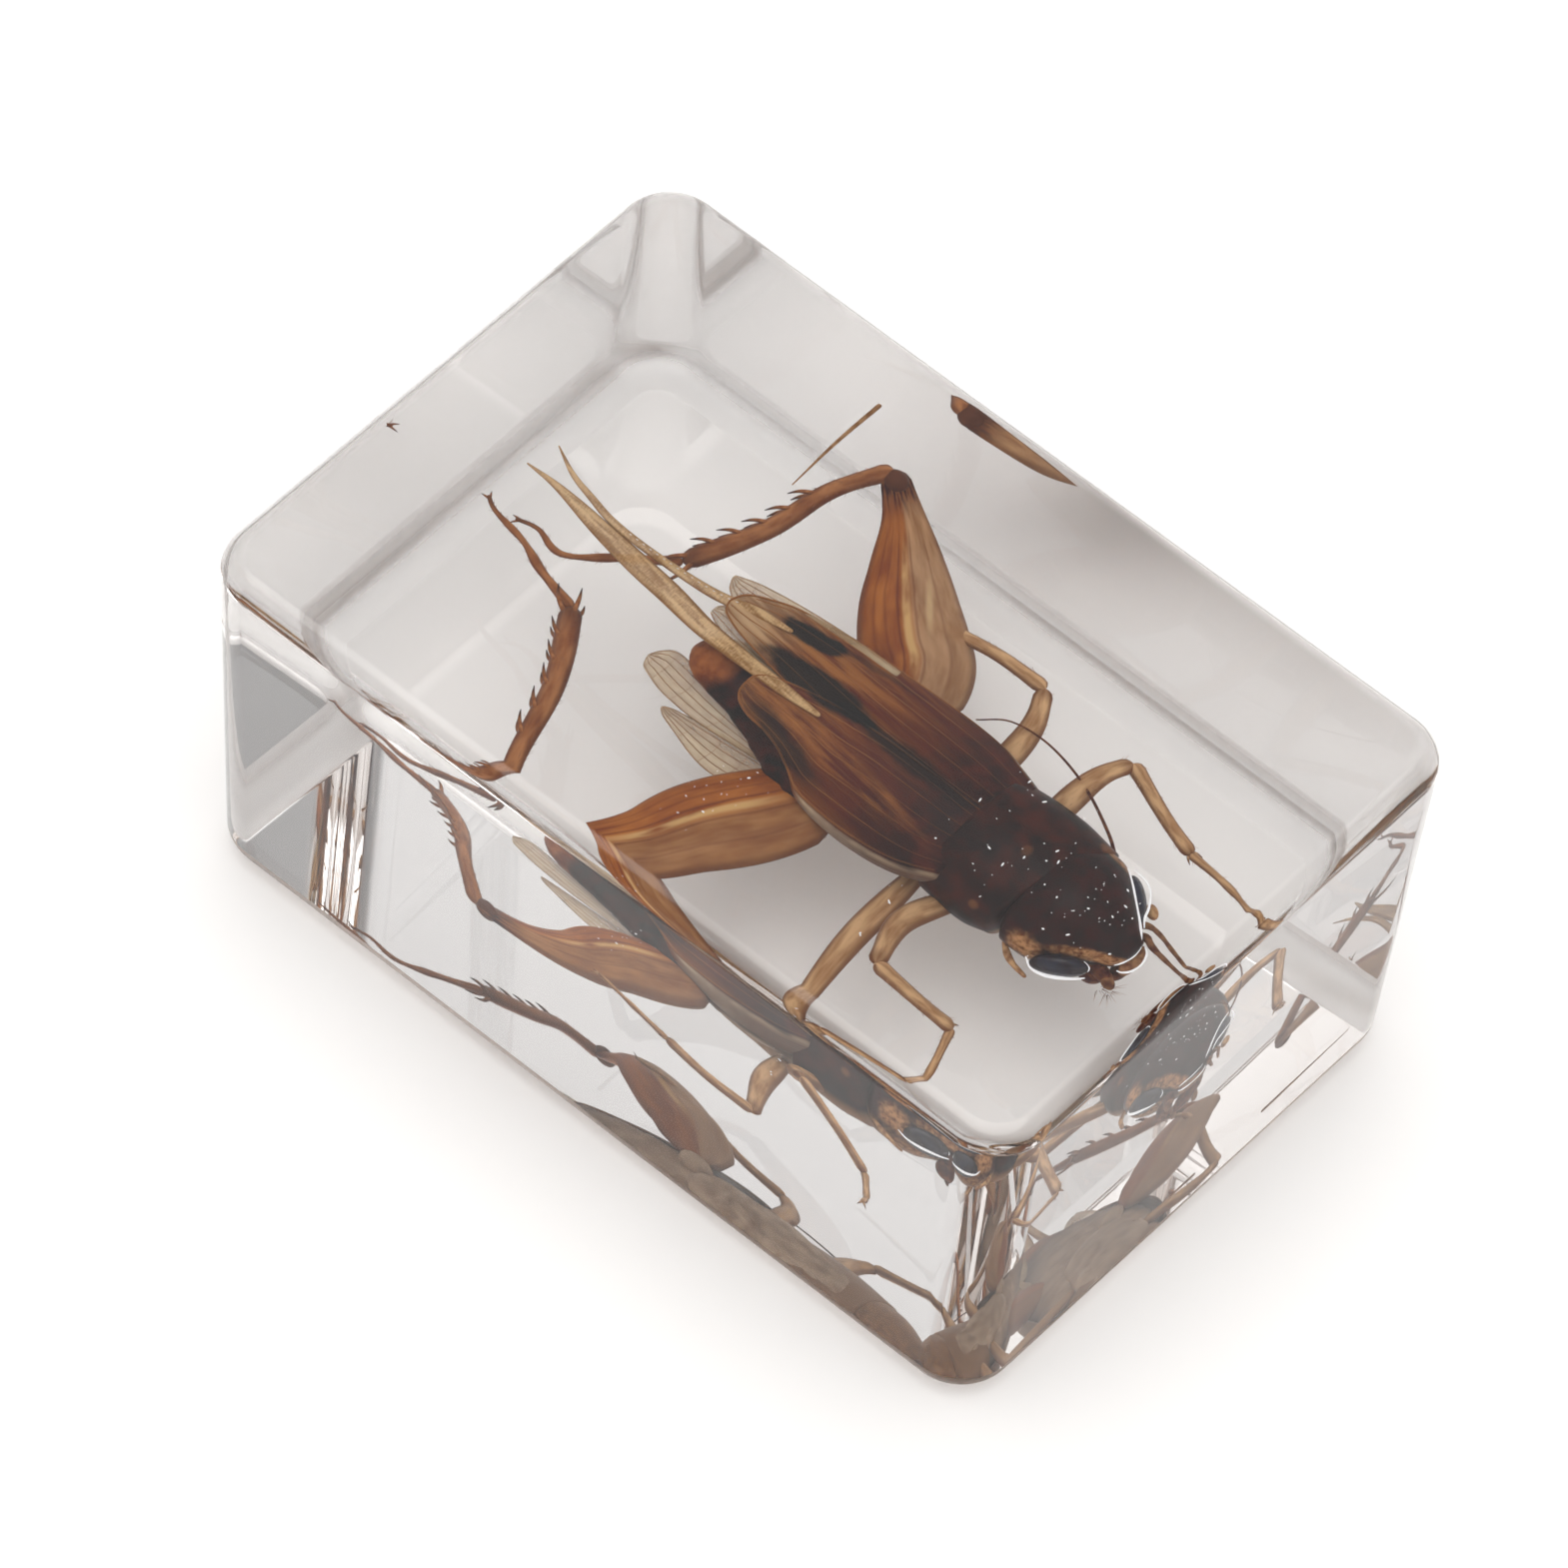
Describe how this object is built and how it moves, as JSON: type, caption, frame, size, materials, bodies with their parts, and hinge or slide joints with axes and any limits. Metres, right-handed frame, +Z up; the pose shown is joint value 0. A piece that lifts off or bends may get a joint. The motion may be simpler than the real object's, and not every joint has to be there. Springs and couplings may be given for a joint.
{
  "type": "insect in resin block",
  "caption": "Field cricket cast in a clear, slightly tapered resin block with softened edges, for display and close study.",
  "frame": {"origin": "centre of the block's flat base", "axes": "+X along the block towards the cricket's head, +Y towards the cricket's left side, +Z up through its back"},
  "size_m": [0.045, 0.03, 0.02],
  "materials": {
    "clear_resin": "clear cast resin, polished, very faintly warm",
    "cricket_shell": "dry chitin, satin, dark brown to amber",
    "pale_chitin": "dry chitin, matte, pale brown"
  },
  "bodies": {
    "root": {"resin_lower_half": "clear_resin", "resin_upper_half": "clear_resin", "cricket": "cricket_shell", "loose_cercus": "pale_chitin"}
  },
  "joints": []
}
